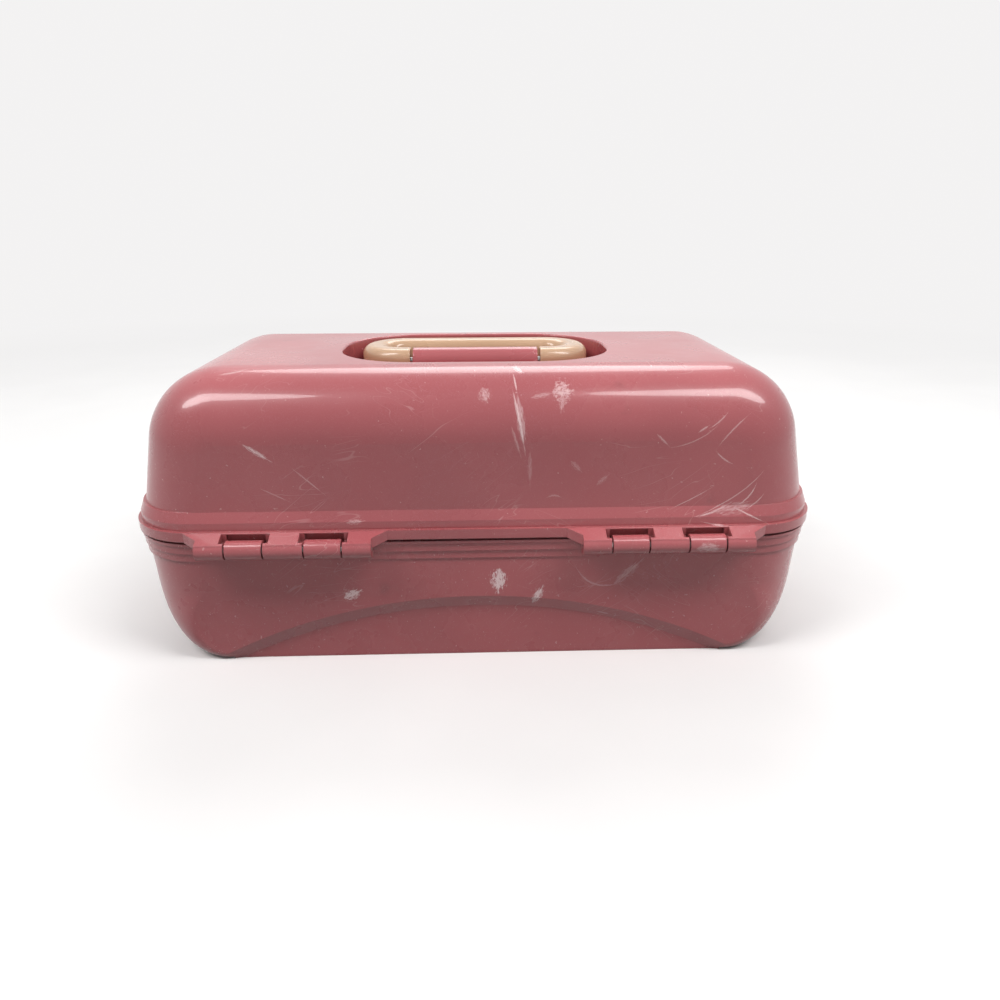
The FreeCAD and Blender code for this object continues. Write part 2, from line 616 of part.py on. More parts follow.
def base_knuckles(name, side):
    """Two round knuckles on a web from the middle band of the base rim."""
    body = new_body(name)
    for index, (start, length) in enumerate(hinge_spans(side)):
        if index % 2 == 0:
            continue
        low_x = f"{start} + knuckle_gap / 2"
        long = f"{length} - knuckle_gap"
        sketch = along_x(body, f"{name}_web_{index}", low_x)
        root = f"(-{RIM_Y} + mid_band_inset + shell_wall / 2)"
        web_low = f"({HINGE_Z} - web_drop)"
        web_top = f"({HINGE_Z} + web_rise)"
        points = ((HINGE_Y, web_low), (root, web_low), (root, web_top), (HINGE_Y, web_top))
        polygon(sketch, points)
        pad(body, sketch, long)
        sketch = along_x(body, f"{name}_barrel_{index}", low_x)
        circle(sketch, HINGE_Y, HINGE_Z, "barrel_radius")
        pad(body, sketch, long)
    bore = along_x(body, f"{name}_bore", f"{side} * {HINGE_X}")
    circle(bore, HINGE_Y, HINGE_Z, "hinge_pin_radius + tight_fit")
    pocket(body, bore, HINGE_LONG, middle=True)
    return body


def catch(name, side):
    """A short rib below the seam, behind the nib of a latch."""
    body = new_body(name)
    sketch = along_x(body, f"{name}_rib", f"{side} * {LATCH_X} - catch_wide / 2")
    root = f"({BASE_Y} - shell_wall / 2)"
    top = "(seam_height - catch_below)"
    low = f"({top} - catch_tall)"
    points = ((root, low), (RIM_Y, low), (RIM_Y, top), (root, top))
    polygon(sketch, points)
    pad(body, sketch, "catch_wide")
    return body


def foot_boss(name, side, place):
    """A boss inside an end wall that carries the foot of an arm."""
    body = new_body(name)
    start = f"{side} * ({ARM_OUT} + boss_gap)"
    sketch = along_x(body, f"{name}_post", start)
    circle(sketch, *place, "pivot_boss_radius")
    pad(body, sketch, "arm_wall_gap", back=side < 0)
    sketch = along_x(body, f"{name}_bore", start)
    circle(sketch, *place, "pivot_radius + tight_fit")
    pocket(body, sketch, "arm_wall_gap - boss_gap", back=side > 0)
    return body


def wall_bores(body, name, side):
    """The ends of the arm pins' bores, sunk into a leaning end wall."""
    sketch = along_x(body, name, f"{side} * {ARM_OUT}")
    for place in (LONG_FOOT, SHORT_FOOT):
        circle(sketch, *place, "pivot_radius + tight_fit")
    pocket(body, sketch, "arm_wall_gap", back=side > 0)


def base_shell():
    outside = (BASE_X, "seam_height", "0 * seam_height", "base_end_round", "base_lean")
    rounds = (BASE_CORNER, "base_foot_round")
    outer = rounded_block("base_outside", outside, f"2 * {BASE_Y}", *rounds)
    mouth = "seam_height + shell_wall"
    inside = (BASE_IN_X, mouth, "shell_wall", "base_end_round - shell_wall", "base_lean")
    rounds = (f"{BASE_CORNER} - shell_wall", "base_foot_round - shell_wall / 2")
    inner = rounded_block("base_inside", inside, f"2 * {BASE_IN_Y}", *rounds)
    body = hollow_body("base_tub", outer, inner)
    for name, front in (("rear_arch", False), ("front_arch", True)):
        arch_wall(body, f"{name}_wall", front)
        arch_panel(body, f"{name}_panel", front)
    base_rim(body)
    members = [body]
    for name, side in SIDES:
        wall_bores(body, f"{name}_wall_bores", side)
        members.append(base_knuckles(f"base_{name}_hinge", side))
        members.append(catch(f"{name}_catch", side))
        members.append(foot_boss(f"{name}_long_foot", side, LONG_FOOT))
        members.append(foot_boss(f"{name}_short_foot", side, SHORT_FOOT))
    return fused("base_shell", members)


# ---- lid ----
def lid_wall(height):
    """X of the middle of a leaning end wall of the lid, at a height above the table."""
    lean = f"lid_lean * ({height} - seam_height) / (case_tall - lid_end_round - seam_height)"
    return f"({LID_IN_X} + shell_wall / 2 - {lean})"


def lid_form():
    """The domed lid, hollowed, with the slope above its rim and two rim bands."""
    outside = (LID_X, "seam_height", "case_tall", "lid_end_round", "lid_lean")
    outer = rounded_block("lid_outside", outside, f"2 * {LID_Y}", "lid_edge_round", "lid_edge_round")
    mouth, ceiling = "seam_height - shell_wall", "case_tall - shell_wall"
    inside = (LID_IN_X, mouth, ceiling, "lid_end_round - shell_wall", "lid_lean")
    rounds = ("lid_edge_round - shell_wall", "lid_edge_round - shell_wall")
    inner = rounded_block("lid_inside", inside, f"2 * {LID_IN_Y}", *rounds)
    flare = new_body("lid_flare")
    sketch = sketch_on(flare, "lid_flare_foot", "XY_Plane", COLLAR_TOP)
    rounded_box(sketch, f"2 * {COLLAR_X}", f"2 * {COLLAR_Y}", "rim_corner - collar_inset")
    slope = pad(flare, sketch, "flare_tall")
    slope.TaperAngle = -value("flare_angle")
    body = hollow_body("lid_dome", fused("lid_outer", [outer, flare]), inner)
    bands = (
        ("lip", "0 * rim_corner", "seam_height", "lip_tall"),
        ("collar", "collar_inset", "(seam_height + lip_tall)", "collar_tall"),
    )
    for name, inset, low, tall in bands:
        wall_x = lid_wall(f"({low} + ({tall}) / 2)")
        ring = (wall_x, f"{LID_IN_Y} + shell_wall / 2", "lid_edge_round")
        rim_ring(body, name, inset, *ring, low, tall)
    return body


def handle_recess(body):
    """The sunken stadium in the lid top, the hub across it and the hub's bore."""
    box = ("recess_wide + 2 * shell_wall", "recess_depth + 2 * shell_wall")
    sketch = sketch_on(body, "recess_wall", "XY_Plane", f"{RECESS_Z} - shell_wall")
    rounded_box(sketch, *box, "recess_corner + shell_wall")
    pad(body, sketch, "recess_sunk + shell_wall / 2")
    sketch = sketch_on(body, "recess", "XY_Plane", "case_tall")
    rounded_box(sketch, "recess_wide", "recess_depth", "recess_corner")
    pocket(body, sketch, "recess_sunk")
    half_wide, half_deep = value("recess_wide / 2"), value("recess_depth / 2")

    def around(height):
        def chosen(edge):
            box = edge.BoundBox
            inside = max(abs(box.XMin), abs(box.XMax)) < half_wide + NEAR
            inside = inside and max(abs(box.YMin), abs(box.YMax)) < half_deep + NEAR
            return inside and on_plane(edge, "Z", height)

        return chosen

    dress(body, "Fillet", around(value(RECESS_Z)), "recess_floor_round")
    dress(body, "Fillet", around(value("case_tall")), "recess_rim_round")
    sketch = along_x(body, "hub", f"-{HUB_X}")
    low = f"({RECESS_Z} - shell_wall / 2)"
    post = (("-hub_radius", low), ("hub_radius", low), ("hub_radius", AXIS_Z), ("-hub_radius", AXIS_Z))
    polygon(sketch, post)
    pad(body, sketch, f"2 * {HUB_X}")
    sketch = along_x(body, "hub_top", f"-{HUB_X}")
    circle(sketch, "0 * hub_radius", AXIS_Z, "hub_radius")
    pad(body, sketch, f"2 * {HUB_X}")
    end, axis = value(HUB_X), value(AXIS_Z)

    def hub_end(edge):
        at_end = on_plane(edge, "X", end) or on_plane(edge, "X", -end)
        return at_end and edge.BoundBox.ZMax > axis + NEAR

    dress(body, "Fillet", hub_end, "hub_round")
    sketch = along_x(body, "hub_bore", "0 * hub_radius")
    circle(sketch, "0 * hub_radius", AXIS_Z, "handle_pin_radius + tight_fit")
    pocket(body, sketch, f"2 * {HANDLE_END}", middle=True)


def hinge_leaf(name, side):
    """A sloping leaf that hangs three knuckles outside the lip, notched for the base's two."""
    body = new_body(name)
    middle = f"({side} * {HINGE_X})"
    start = f"({middle} - {HINGE_LONG} / 2)"
    wide = f"({HINGE_LONG} + 2 * leaf_flare)"
    root = f"(-{RIM_Y} + notch_depth)"
    leaf_top = "(seam_height + lip_tall - leaf_drop)"
    outline = (
        (root, leaf_top),
        (f"-{RIM_Y}", leaf_top),
        (f"({HINGE_Y} - leaf_brow_out)", f"({HINGE_Z} + leaf_brow_up)"),
        (f"({HINGE_Y} - leaf_chin_out)", f"({HINGE_Z} + leaf_chin_up)"),
        (HINGE_Y, HINGE_Z),
        (root, "(seam_height + leaf_drop)"),
    )
    sketch = along_x(body, f"{name}_leaf", f"{middle} - {wide} / 2")
    polygon(sketch, outline)
    pad(body, sketch, wide)
    # slant both ends, from the barrel out to the wider root
    sketch = sketch_on(body, f"{name}_slant", "XY_Plane", "seam_height + 2 * lip_tall")
    clear_y = f"(-{REACH_Y} - barrel_radius)"
    for turn in (-1, 1):
        barrel_end = f"({middle} + {turn} * {HINGE_LONG} / 2)"
        leaf_end = f"({middle} + {turn} * {wide} / 2)"
        far = f"({leaf_end} + {turn} * leaf_flare)"
        points = (
            (barrel_end, clear_y),
            (barrel_end, HINGE_Y),
            (leaf_end, f"-{RIM_Y}"),
            (far, f"-{RIM_Y}"),
            (far, clear_y),
        )
        polygon(sketch, points)
    pocket(body, sketch, "4 * lip_tall + barrel_radius")
    sketch = along_x(body, f"{name}_barrel", start)
    circle(sketch, HINGE_Y, HINGE_Z, "barrel_radius")
    pad(body, sketch, HINGE_LONG)
    out_y, low_z = f"({HINGE_Y} - 2 * barrel_radius)", f"({HINGE_Z} - 2 * barrel_radius)"
    for index, (low, length) in enumerate(hinge_spans(side)):
        if index % 2 == 0:
            continue
        cuts = (
            ("notch", "knuckle_gap / 2", (out_y, low_z, root, NOTCH_ROOF)),
            (
                "pocket",
                "pocket_wide",
                (
                    f"({HINGE_Y} - pocket_out)",
                    f"({HINGE_Z} + pocket_up)",
                    f"(-{RIM_Y} - notch_depth / 2)",
                    f"({leaf_top} + barrel_radius)",
                ),
            ),
        )
        for kind, extra, (y1, z1, y2, z2) in cuts:
            sketch = along_x(body, f"{name}_{kind}_{index}", f"{low} - {extra}")
            polygon(sketch, ((y1, z1), (y2, z1), (y2, z2), (y1, z2)))
            pocket(body, sketch, f"{length} + 2 * {extra}", back=True)
    sketch = along_x(body, f"{name}_pin_hole", middle)
    circle(sketch, HINGE_Y, HINGE_Z, "hinge_pin_radius + run_fit")
    pocket(body, sketch, HINGE_LONG, middle=True)
    return body


def latch_lugs(name, side):
    """Two lugs outside the lip that carry a latch pin between them."""
    body = new_body(name)
    for turn in (-1, 1):
        inner = f"({side} * {LATCH_X} + {turn} * (latch_wide / 2 + lug_gap))"
        root = f"({RIM_Y} - notch_depth)"
        low = f"({LATCH_Z} - lug_under)"
        top = "(seam_height + lip_tall - leaf_drop)"
        crown = (f"({LATCH_Y} + lug_crown_out)", f"({LATCH_Z} + lug_crown_up)")
        points = ((root, low), (LATCH_Y, low), crown, (root, top))
        sketch = along_x(body, f"{name}_lug_{turn + 2}", inner)
        polygon(sketch, points)
        pad(body, sketch, "lug_thick", back=turn < 0)
        sketch = along_x(body, f"{name}_lug_eye_{turn + 2}", inner)
        circle(sketch, LATCH_Y, LATCH_Z, "lug_radius")
        pad(body, sketch, "lug_thick", back=turn < 0)
    sketch = along_x(body, f"{name}_lug_bore", f"{side} * {LATCH_X}")
    circle(sketch, LATCH_Y, LATCH_Z, "latch_pin_radius + tight_fit")
    pocket(body, sketch, "latch_wide + 2 * lug_gap + 2 * lug_thick", middle=True)
    return body


def mirror_bosses(body):
    """Four posts under the lid top, each drilled for a mirror screw."""
    sketch = sketch_on(body, "mirror_bosses", "XY_Plane", FRAME_TOP)
    for turn_x in (-1, 1):
        for turn_y in (-1, 1):
            place = (f"{turn_x} * {SCREW_X}", f"{turn_y} * {SCREW_Y}")
            circle(sketch, *place, "screw_boss_radius")
    pad(body, sketch, f"case_tall - shell_wall / 2 - {FRAME_TOP}")
    sketch = sketch_on(body, "mirror_screw_holes", "XY_Plane", FRAME_TOP)
    for turn_x in (-1, 1):
        for turn_y in (-1, 1):
            place = (f"{turn_x} * {SCREW_X}", f"{turn_y} * {SCREW_Y}")
            circle(sketch, *place, "screw_radius + tight_fit")
    pocket(body, sketch, "screw_bite + screw_radius", back=True)


def tray_boss(name, side):
    """A boss inside each end of the lid that carries the upper tray."""
    body = new_body(name)
    start = f"{side} * ({TRAY_X} + boss_gap)"
    sketch = along_x(body, f"{name}_post", start)
    circle(sketch, *LID_PIVOT, "pivot_boss_radius")
    length = f"({lid_wall(LID_PIVOT[1])} - {TRAY_X} - boss_gap)"
    pad(body, sketch, length, back=side < 0)
    sketch = along_x(body, f"{name}_bore", start)
    circle(sketch, *LID_PIVOT, "pivot_radius + tight_fit")
    pocket(body, sketch, f"{length} / 2", back=side > 0)
    return body


def lip_notches(body):
    """Recesses in the face of the lip, behind the knuckles of the base."""
    sketch = sketch_on(body, "lip_notches", "XY_Plane", NOTCH_ROOF)
    root, outside = f"(-{RIM_Y} + notch_depth)", f"(-{RIM_Y} - notch_depth)"
    for _, side in SIDES:
        for index, (start, length) in enumerate(hinge_spans(side)):
            if index % 2 == 0:
                continue
            low = f"({start} - knuckle_gap / 2)"
            high = f"({low} + {length} + knuckle_gap)"
            polygon(sketch, ((low, outside), (high, outside), (high, root), (low, root)))
    pocket(body, sketch, "2 * lip_tall")


def lid_shell():
    body = lid_form()
    handle_recess(body)
    mirror_bosses(body)
    lip_notches(body)
    members = [body]
    for name, side in SIDES:
        members.append(hinge_leaf(f"lid_{name}_hinge", side))
        members.append(latch_lugs(f"{name}_latch_lugs", side))
        members.append(tray_boss(f"{name}_tray_boss", side))
    return fused("lid_shell", members)


# ---- handle ----
def handle_loop():
    """A flat C: a straight grip, two half-circle bends and two short ends on the pivot axis."""
    body = new_body("handle_loop")
    path = sketch_on(body, "handle_path", "XY_Plane", AXIS_Z)
    first_x, turn_x, radius = value(HANDLE_END), value(BEND_X), value(GRIP_Y) / 2
    point = FreeCAD.Vector
    path.addGeometry(Part.LineSegment(point(first_x, 0, 0), point(turn_x, 0, 0)))
    path.addGeometry(arc(turn_x, radius, radius, -90, 90))
    far = 2 * radius
    path.addGeometry(Part.LineSegment(point(turn_x, far, 0), point(-turn_x, far, 0)))
    path.addGeometry(arc(-turn_x, radius, radius, 90, 270))
    path.addGeometry(Part.LineSegment(point(-turn_x, 0, 0), point(-first_x, 0, 0)))
    for ends in ((0, 2, 1, 1), (1, 2, 2, 1), (2, 2, 3, 1), (3, 2, 4, 1)):
        path.addConstraint(Sketcher.Constraint("Tangent", *ends))
    path.addConstraint(Sketcher.Constraint("Horizontal", 2))
    nothing = "0 * grip_thick"
    bind_point(path, 0, 1, HANDLE_END, nothing)
    bind_point(path, 0, 2, BEND_X, nothing)
    bind_point(path, 4, 1, f"-{BEND_X}", nothing)
    bind_point(path, 4, 2, f"-{HANDLE_END}", nothing)
    bind(path, "DistanceY", GRIP_Y, -1, 1, 2, 1)
    section = along_x(body, "handle_section", HANDLE_END)
    rounded_box(section, "grip_thick", "grip_tall", "grip_round", nothing, AXIS_Z)
    pipe = body.newObject("PartDesign::AdditivePipe", "handle_pipe")
    pipe.Profile = section
    pipe.Spine = path
    doc.recompute()
    end = value(HANDLE_END)

    def end_edge(edge):
        return on_plane(edge, "X", end) or on_plane(edge, "X", -end)

    dress(body, "Fillet", end_edge, "hub_round")
    for name, side in SIDES:
        bore = along_x(body, f"{name}_handle_bore", f"{side} * {HANDLE_END}")
        circle(bore, nothing, AXIS_Z, "handle_pin_radius + run_fit")
        pocket(body, bore, "handle_pin_grip + boss_gap", back=side > 0)
    return body


# ---- latches ----
def latch(name, side):
    """A snap latch: a rolled top on its pin, a plate over the seam and a finger lip."""
    body = new_body(f"latch_{name}")
    start = f"({side} * {LATCH_X} - latch_wide / 2)"
    inner = f"({RIM_Y} + latch_face_gap)"
    outer = f"({inner} + latch_plate)"
    low = "(seam_height - latch_drop)"
    lip_low = f"({low} - latch_lip_tall)"
    nib_y = f"({RIM_Y} + catch_gap)"
    nib_top = "(seam_height - catch_below - catch_tall - catch_gap)"
    outline = (
        (LATCH_Y, LATCH_Z),
        (inner, f"({LATCH_Z} - latch_barrel / 2)"),
        (inner, f"{nib_top}"),
        (nib_y, f"({nib_top} - catch_tall / 4)"),
        (inner, f"({nib_top} - catch_tall)"),
        (inner, low),
        (f"({REACH_Y} - latch_lip_thick)", lip_low),
        (REACH_Y, f"({lip_low} + latch_lip_edge)"),
        (outer, f"({low} + latch_plate / 2)"),
        (outer, LATCH_Z),
    )
    sketch = along_x(body, f"{name}_latch_plate", start)
    polygon(sketch, outline)
    pad(body, sketch, "latch_wide")
    sketch = along_x(body, f"{name}_latch_barrel", start)
    circle(sketch, LATCH_Y, LATCH_Z, "latch_barrel")
    pad(body, sketch, "latch_wide")
    sketch = along_x(body, f"{name}_latch_bore", f"{side} * {LATCH_X}")
    circle(sketch, LATCH_Y, LATCH_Z, "latch_pin_radius + run_fit")
    pocket(body, sketch, "latch_wide", middle=True)
    return body


# ---- mirror ----
def mirror_frame():
    """A flat frame under the lid top; the glass lies in it on a narrow lap."""
    body = new_body("mirror_frame")
    sketch = sketch_on(body, "mirror_plate", "XY_Plane", FRAME_Z)
    rounded_box(sketch, "mirror_wide", "mirror_deep", "mirror_corner")
    pad(body, sketch, "frame_thick")
    seat = ("mirror_wide - 2 * mirror_border", "mirror_deep - 2 * mirror_border")
    sketch = sketch_on(body, "glass_seat", "XY_Plane", FRAME_TOP)
    rounded_box(sketch, *seat, "mirror_corner / 2")
    pocket(body, sketch, "glass_thick + glass_gap")
    sketch = sketch_on(body, "glass_window", "XY_Plane", FRAME_TOP)
    window = [f"({length} - 2 * mirror_lap)" for length in seat]
    rounded_box(sketch, *window, "mirror_corner / 2 - mirror_lap / 2")
    pocket(body, sketch, "frame_thick + glass_gap")
    sketch = sketch_on(body, "frame_screw_holes", "XY_Plane", FRAME_TOP)
    for turn_x in (-1, 1):
        for turn_y in (-1, 1):
            place = (f"{turn_x} * {SCREW_X}", f"{turn_y} * {SCREW_Y}")
            circle(sketch, *place, "screw_radius + tight_fit")
    pocket(body, sketch, "frame_thick")
    low = value(FRAME_Z)

    hole = 2 * value("screw_radius + tight_fit") + NEAR

    def rim_edge(edge):
        return on_plane(edge, "Z", low) and edge.BoundBox.XLength > hole

    dress(body, "Fillet", rim_edge, "frame_round")
    return body


def mirror_glass():
    body = new_body("mirror_glass")
    low = f"({FRAME_TOP} - glass_thick - glass_gap)"
    sketch = sketch_on(body, "glass_outline", "XY_Plane", low)
    wide = "mirror_wide - 2 * mirror_border - 2 * glass_gap"
    deep = "mirror_deep - 2 * mirror_border - 2 * glass_gap"
    rounded_box(sketch, wide, deep, "mirror_corner / 2 - glass_gap")
    pad(body, sketch, "glass_thick")
    return body


def mirror_screws():
    """Four short screws up through the frame into the bosses of the lid."""
    screws = []
    for turn_x in (-1, 1):
        for turn_y in (-1, 1):
            number = len(screws) + 1
            shank = doc.addObject("Part::Cylinder", f"screw_shank_{number}")
            head = doc.addObject("Part::Cylinder", f"screw_head_{number}")
            parts = (
                (shank, "screw_radius", "screw_bite + frame_thick", FRAME_Z),
                (head, "screw_head_radius", "screw_head_tall", f"{FRAME_Z} - screw_head_tall"),
            )
            for piece, radius, height, low in parts:
                piece.setExpression("Radius", linked(radius))
                piece.setExpression("Height", linked(height))
                piece.setExpression("Placement.Base.x", linked(f"{turn_x} * {SCREW_X}"))
                piece.setExpression("Placement.Base.y", linked(f"{turn_y} * {SCREW_Y}"))
                piece.setExpression("Placement.Base.z", linked(low))
            screws.append(fused(f"screw_{number}", [shank, head]))
    return group("mirror_screws", screws)


# ---- trays ----
def tray(name, low, tall, rear_y, front_y):
    """A shallow open tray."""
    body = new_body(name)
    middle = f"(({rear_y} + {front_y}) / 2)"
    depth = f"({front_y} - {rear_y})"
    sketch = sketch_on(body, f"{name}_block", "XY_Plane", low)
    rounded_box(sketch, f"2 * {TRAY_X}", depth, "tray_corner", "0 * tray_wall", middle)
    pad(body, sketch, tall)
    bottom = value(low)

    def floor_edge(edge):
        return on_plane(edge, "Z", bottom)

    dress(body, "Fillet", floor_edge, "tray_wall")
    sketch = sketch_on(body, f"{name}_well", "XY_Plane", f"{low} + {tall}")
    well = (f"2 * {TRAY_IN_X}", f"({depth} - 2 * tray_wall)", "tray_corner - tray_wall")
    rounded_box(sketch, *well, "0 * tray_wall", middle)
    pocket(body, sketch, f"{tall} - tray_wall")
    return body


def dividers(name, low, tall, rear_y, front_y, columns):
    """One long divider between two rows, and short ones across each row."""
    floor = f"({low} + tray_wall)"
    high = f"({tall} - tray_wall - divider_drop)"
    inner = (f"({rear_y} + tray_wall)", f"({front_y} - tray_wall)")
    row_deep = f"(({inner[1]} - {inner[0]} - divider_thick) / 2)"
    middle = f"({inner[0]} + {row_deep})"
    boards = [(f"-{TRAY_IN_X}", middle, f"2 * {TRAY_IN_X}", "divider_thick")]
    for start, count in zip((inner[0], f"({middle} + divider_thick)"), columns):
        pitch = f"((2 * {TRAY_IN_X} + divider_thick) / {count})"
        for place in range(1, count):
            board_x = f"({place} * {pitch} - {TRAY_IN_X} - divider_thick)"
            boards.append((board_x, start, "divider_thick", row_deep))
    pieces = []
    for number, (board_x, board_y, wide, deep) in enumerate(boards, start=1):
        board = doc.addObject("Part::Box", f"{name}_{number}")
        board.setExpression("Length", linked(wide))
        board.setExpression("Width", linked(deep))
        board.setExpression("Height", linked(high))
        board.setExpression("Placement.Base.x", linked(board_x))
        board.setExpression("Placement.Base.y", linked(board_y))
        board.setExpression("Placement.Base.z", linked(floor))
        pieces.append(board)
    return group(name, pieces)


def drill_sides(body, name, place, radius):
    """A hole along X through both end walls of a tray."""
    for side_name, side in SIDES:
        sketch = along_x(body, f"{name}_{side_name}", f"{side} * ({TRAY_X} + tray_wall)")
        circle(sketch, *place, radius)
        pocket(body, sketch, "3 * tray_wall", back=side < 0)


UPPER_PLACE = (
    UPPER_FLOOR,
    "upper_tall",
    f"({HINGE_Y} + upper_back)",
    f"({TONGUE_Y} - tray_gap)",
)
LOWER_PLACE = (
    "lower_floor",
    "lower_tall",
    f"({HINGE_Y} + lower_back)",
    f"({BASE_IN_Y} - arch_step - lower_tray_gap)",
)


def upper_tray():
    body = tray("upper_tray", *UPPER_PLACE)
    drill_sides(body, "lid_pivot_hole", LID_PIVOT, "pivot_radius + run_fit")
    drill_sides(body, "arm_tip_hole", LONG_TIP, "pivot_radius + run_fit")
    return body


def lower_tray():
    body = tray("lower_tray", *LOWER_PLACE)
    for name, side in SIDES:
        base_up = f"({LOWER_TOP} - ear_half_wide)"
        sketch = along_x(body, f"{name}_ear_root", f"{side} * {TRAY_IN_X}")
        y_low = f"({LONG_MID[0]} - ear_half_wide)"
        y_high = f"({LONG_MID[0]} + ear_half_wide)"
        root_low = f"({base_up} - ear_half_wide)"
        root = ((y_low, root_low), (y_high, root_low), (y_high, LOWER_TOP), (y_low, LOWER_TOP))
        polygon(sketch, root)
        pad(body, sketch, f"{EAR_OUT} - {TRAY_IN_X}", back=side < 0)
        sketch = along_x(body, f"{name}_ear", f"{side} * {EAR_IN}")
        link_outline(sketch, (LONG_MID[0], base_up), LONG_MID, "ear_half_wide")
        pad(body, sketch, "ear_thick", back=side < 0)
        sketch = along_x(body, f"{name}_ear_hole", f"{side} * {EAR_OUT}")
        circle(sketch, *LONG_MID, "pivot_radius + run_fit")
        pocket(body, sketch, "ear_thick", back=side < 0)
    drill_sides(body, "short_tip_hole", SHORT_TIP, "pivot_radius + run_fit")
    return body


def arm(name, side, foot, tip, fixed):
    """A flat link from its foot to its tip; fixed lists the rivets that it holds tightly."""
    body = new_body(name)
    sketch = along_x(body, f"{name}_outline", f"{side} * {ARM_IN}")
    link_outline(sketch, foot, tip, "arm_half_wide")
    pad(body, sketch, "arm_thick", back=side < 0)
    sketch = along_x(body, f"{name}_holes", f"{side} * {ARM_OUT}")
    circle(sketch, *foot, "pivot_radius + run_fit")
    for place in fixed:
        circle(sketch, *place, "pivot_radius + tight_fit")
    pocket(body, sketch, "arm_thick", back=side < 0)
    return body


# ---- rivets: a shank with the heads that it needs ----
HEAD_GAP_IN = f"({ARM_IN} - boss_gap)"
TRAY_HEAD = f"({TRAY_IN_X} - boss_gap)"
RIVETS = (
    # name, place, inner end and outer end of the shank, inner head, outer head
    ("tray_hanger_pins", LID_PIVOT, TRAY_HEAD, f"({TRAY_X} + boss_gap + arm_thick)", True, False),
    ("long_arm_foot_pins", LONG_FOOT, HEAD_GAP_IN, f"({BASE_IN_X} - boss_gap)", True, False),
    ("long_arm_tip_pins", LONG_TIP, TRAY_HEAD, ARM_OUT, True, True),
    ("long_arm_middle_pins", LONG_MID, EAR_IN, ARM_OUT, False, True),
    ("short_arm_foot_pins", SHORT_FOOT, HEAD_GAP_IN, f"({BASE_IN_X} - boss_gap)", True, False),
    ("short_arm_tip_pins", SHORT_TIP, TRAY_HEAD, ARM_OUT, True, True),
)


def rivets(name, place, inner, outer, inner_head, outer_head):
    """The same rivet at both ends of the case."""
    pieces = []
    for side_name, side in SIDES:
        label = f"{name}_{side_name}"
        members = [rod(f"{label}_shank", side, inner, outer, place, "pivot_radius")]
        if inner_head:
            head = (f"{inner} - pivot_head_tall", inner)
            members.append(rod(f"{label}_inner", side, *head, place, "pivot_head_radius"))
        if outer_head:
            head = (outer, f"{outer} + pivot_head_tall")
            members.append(rod(f"{label}_outer", side, *head, place, "pivot_head_radius"))
        pieces.append(fused(label, members))
    return group(name, pieces)


def straight_pins():
    """Hinge, latch and handle pins."""
    pins = []
    for name, side in SIDES:
        middle = f"({side} * {HINGE_X})"
        ends = (f"{middle} - {HINGE_LONG} / 2", f"{middle} + {HINGE_LONG} / 2")
        hinge_place = (HINGE_Y, HINGE_Z)
        pins.append(rod(f"hinge_pin_{name}", 1, *ends, hinge_place, "hinge_pin_radius"))
        middle = f"({side} * {LATCH_X})"
        reach = "(latch_wide / 2 + lug_gap + lug_thick)"
        ends = (f"{middle} - {reach}", f"{middle} + {reach}")
        pins.append(rod(f"latch_pin_{name}", 1, *ends, (LATCH_Y, LATCH_Z), "latch_pin_radius"))
    half = f"({HANDLE_END} + handle_pin_grip)"
    place = ("0 * hub_radius", AXIS_Z)
    pins.append(rod("handle_pin", 1, f"-{half}", half, place, "handle_pin_radius"))
    return pins


def build():
    pieces = [base_shell(), lid_shell(), handle_loop()]
    pieces += [latch(name, side) for name, side in SIDES]
    pieces += [mirror_frame(), mirror_glass(), mirror_screws()]
    pieces += [upper_tray(), dividers("upper_dividers", *UPPER_PLACE, (4, 3))]
    pieces += [lower_tray(), dividers("lower_dividers", *LOWER_PLACE, (3, 2))]
    for name, side in SIDES:
        pieces.append(arm(f"long_arm_{name}", side, LONG_FOOT, LONG_TIP, (LONG_MID, LONG_TIP)))
        pieces.append(arm(f"short_arm_{name}", side, SHORT_FOOT, SHORT_TIP, (SHORT_TIP,)))
    pieces += [rivets(*rivet) for rivet in RIVETS]
    pieces += straight_pins()
    doc.recompute()
    return pieces


def check(pieces):
    """Stop if any object failed or any piece is not a sound solid."""
    for item in doc.Objects:
        if "Invalid" in item.State or "Error" in item.State:
            raise RuntimeError(f"{item.Name} failed: {item.State}")
    for piece in pieces:
        shape = piece.Shape
        if shape.isNull() or not shape.isValid() or not shape.Solids:
            raise RuntimeError(f"{piece.Label} is not a sound solid")
        if len(shape.Solids) > 1 and piece.TypeId != "Part::Compound":
            raise RuntimeError(f"{piece.Label} fell into {len(shape.Solids)} solids")


def write(pieces):
    os.makedirs("parts", exist_ok=True)
    for piece in pieces:
        piece.Shape.exportStep(f"parts/{piece.Label}.step")
        box = piece.Shape.BoundBox
        size = f"{box.XLength:.1f} x {box.YLength:.1f} x {box.ZLength:.1f}"
        print(f"{piece.Label}: {size} mm, {piece.Shape.Volume / 1000:.2f} cm3")


parts = build()
check(parts)
write(parts)
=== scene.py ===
import json
from collections import namedtuple
from math import atan2, cos, radians, sin

import bpy
from mathutils import Matrix, Vector
from mathutils.bvhtree import BVHTree

